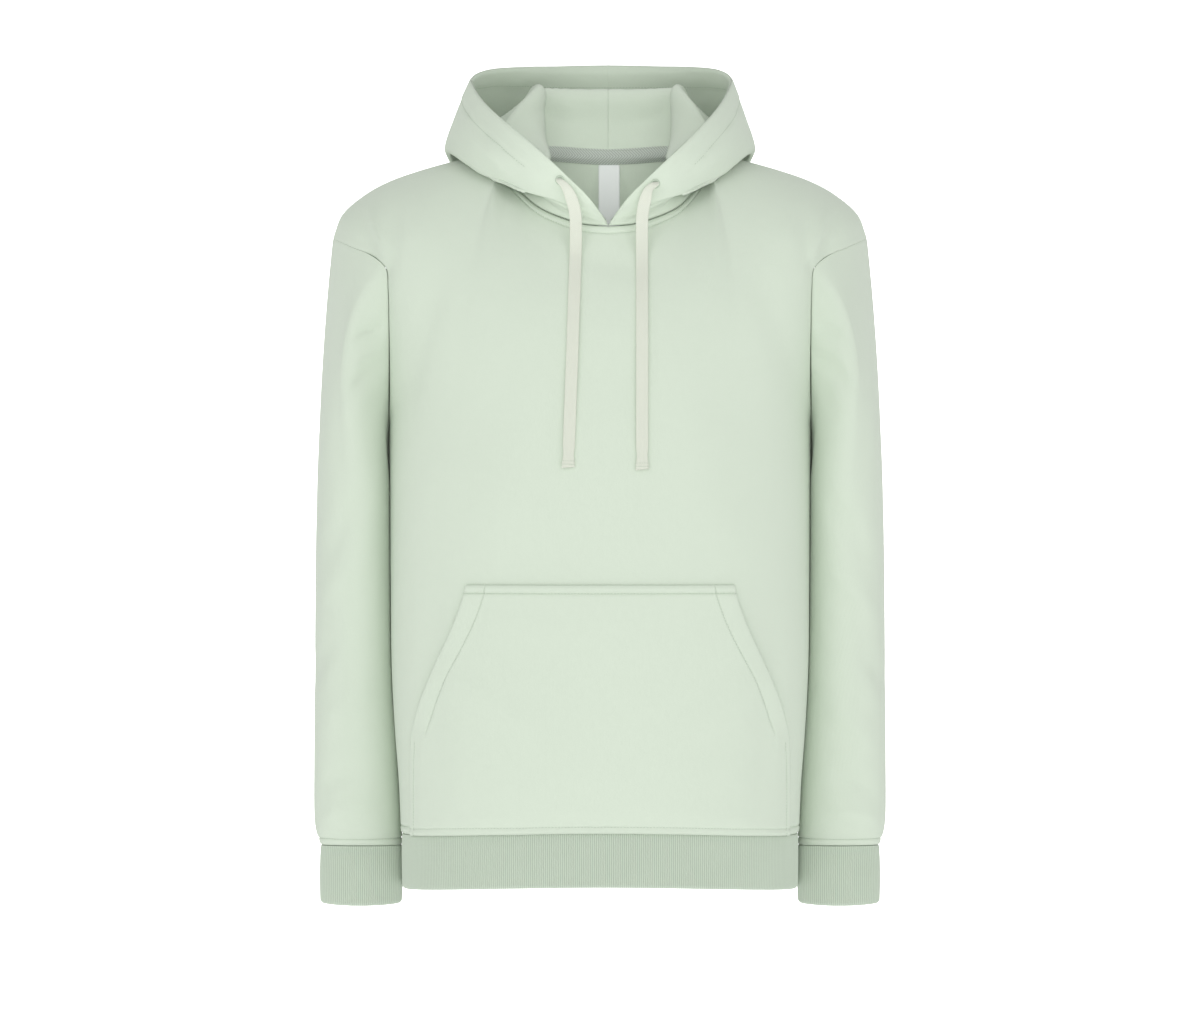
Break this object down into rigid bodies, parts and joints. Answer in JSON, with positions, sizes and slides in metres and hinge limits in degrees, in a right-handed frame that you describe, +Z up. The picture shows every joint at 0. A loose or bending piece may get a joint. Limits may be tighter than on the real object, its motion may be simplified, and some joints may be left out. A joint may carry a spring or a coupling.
{
  "type": "pullover hoodie",
  "caption": "Filled-out pullover hoodie with a laid-back hood, drawcord, kangaroo pocket, long sleeves and ribbed cuffs and hem.",
  "frame": {"origin": "middle of the neck at the height of the shoulder points, where the wearer's shoulders hold the garment", "axes": "+Z up along the body, -Y out of the front, +X to the wearer's left"},
  "size_m": [0.5574, 0.2954, 0.8261],
  "materials": {
    "jersey": "matt brushed jersey",
    "rib": "matt one by one rib",
    "tape": "matt herringbone twill",
    "label": "smooth satin weave, bare",
    "eyelet": "satin stitch",
    "cord": "matt flat weave"
  },
  "bodies": {
    "root": {"front": "jersey", "back": "jersey", "sleeve_left": "jersey", "sleeve_right": "jersey", "cuff_left": "rib", "cuff_right": "rib", "hem_band": "rib", "hood_left": "jersey", "hood_right": "jersey", "pocket": "jersey", "neck_tape": "tape", "neck_label": "label", "eyelet_left": "eyelet", "eyelet_right": "eyelet", "drawcord_left": "cord", "drawcord_right": "cord"}
  },
  "joints": []
}
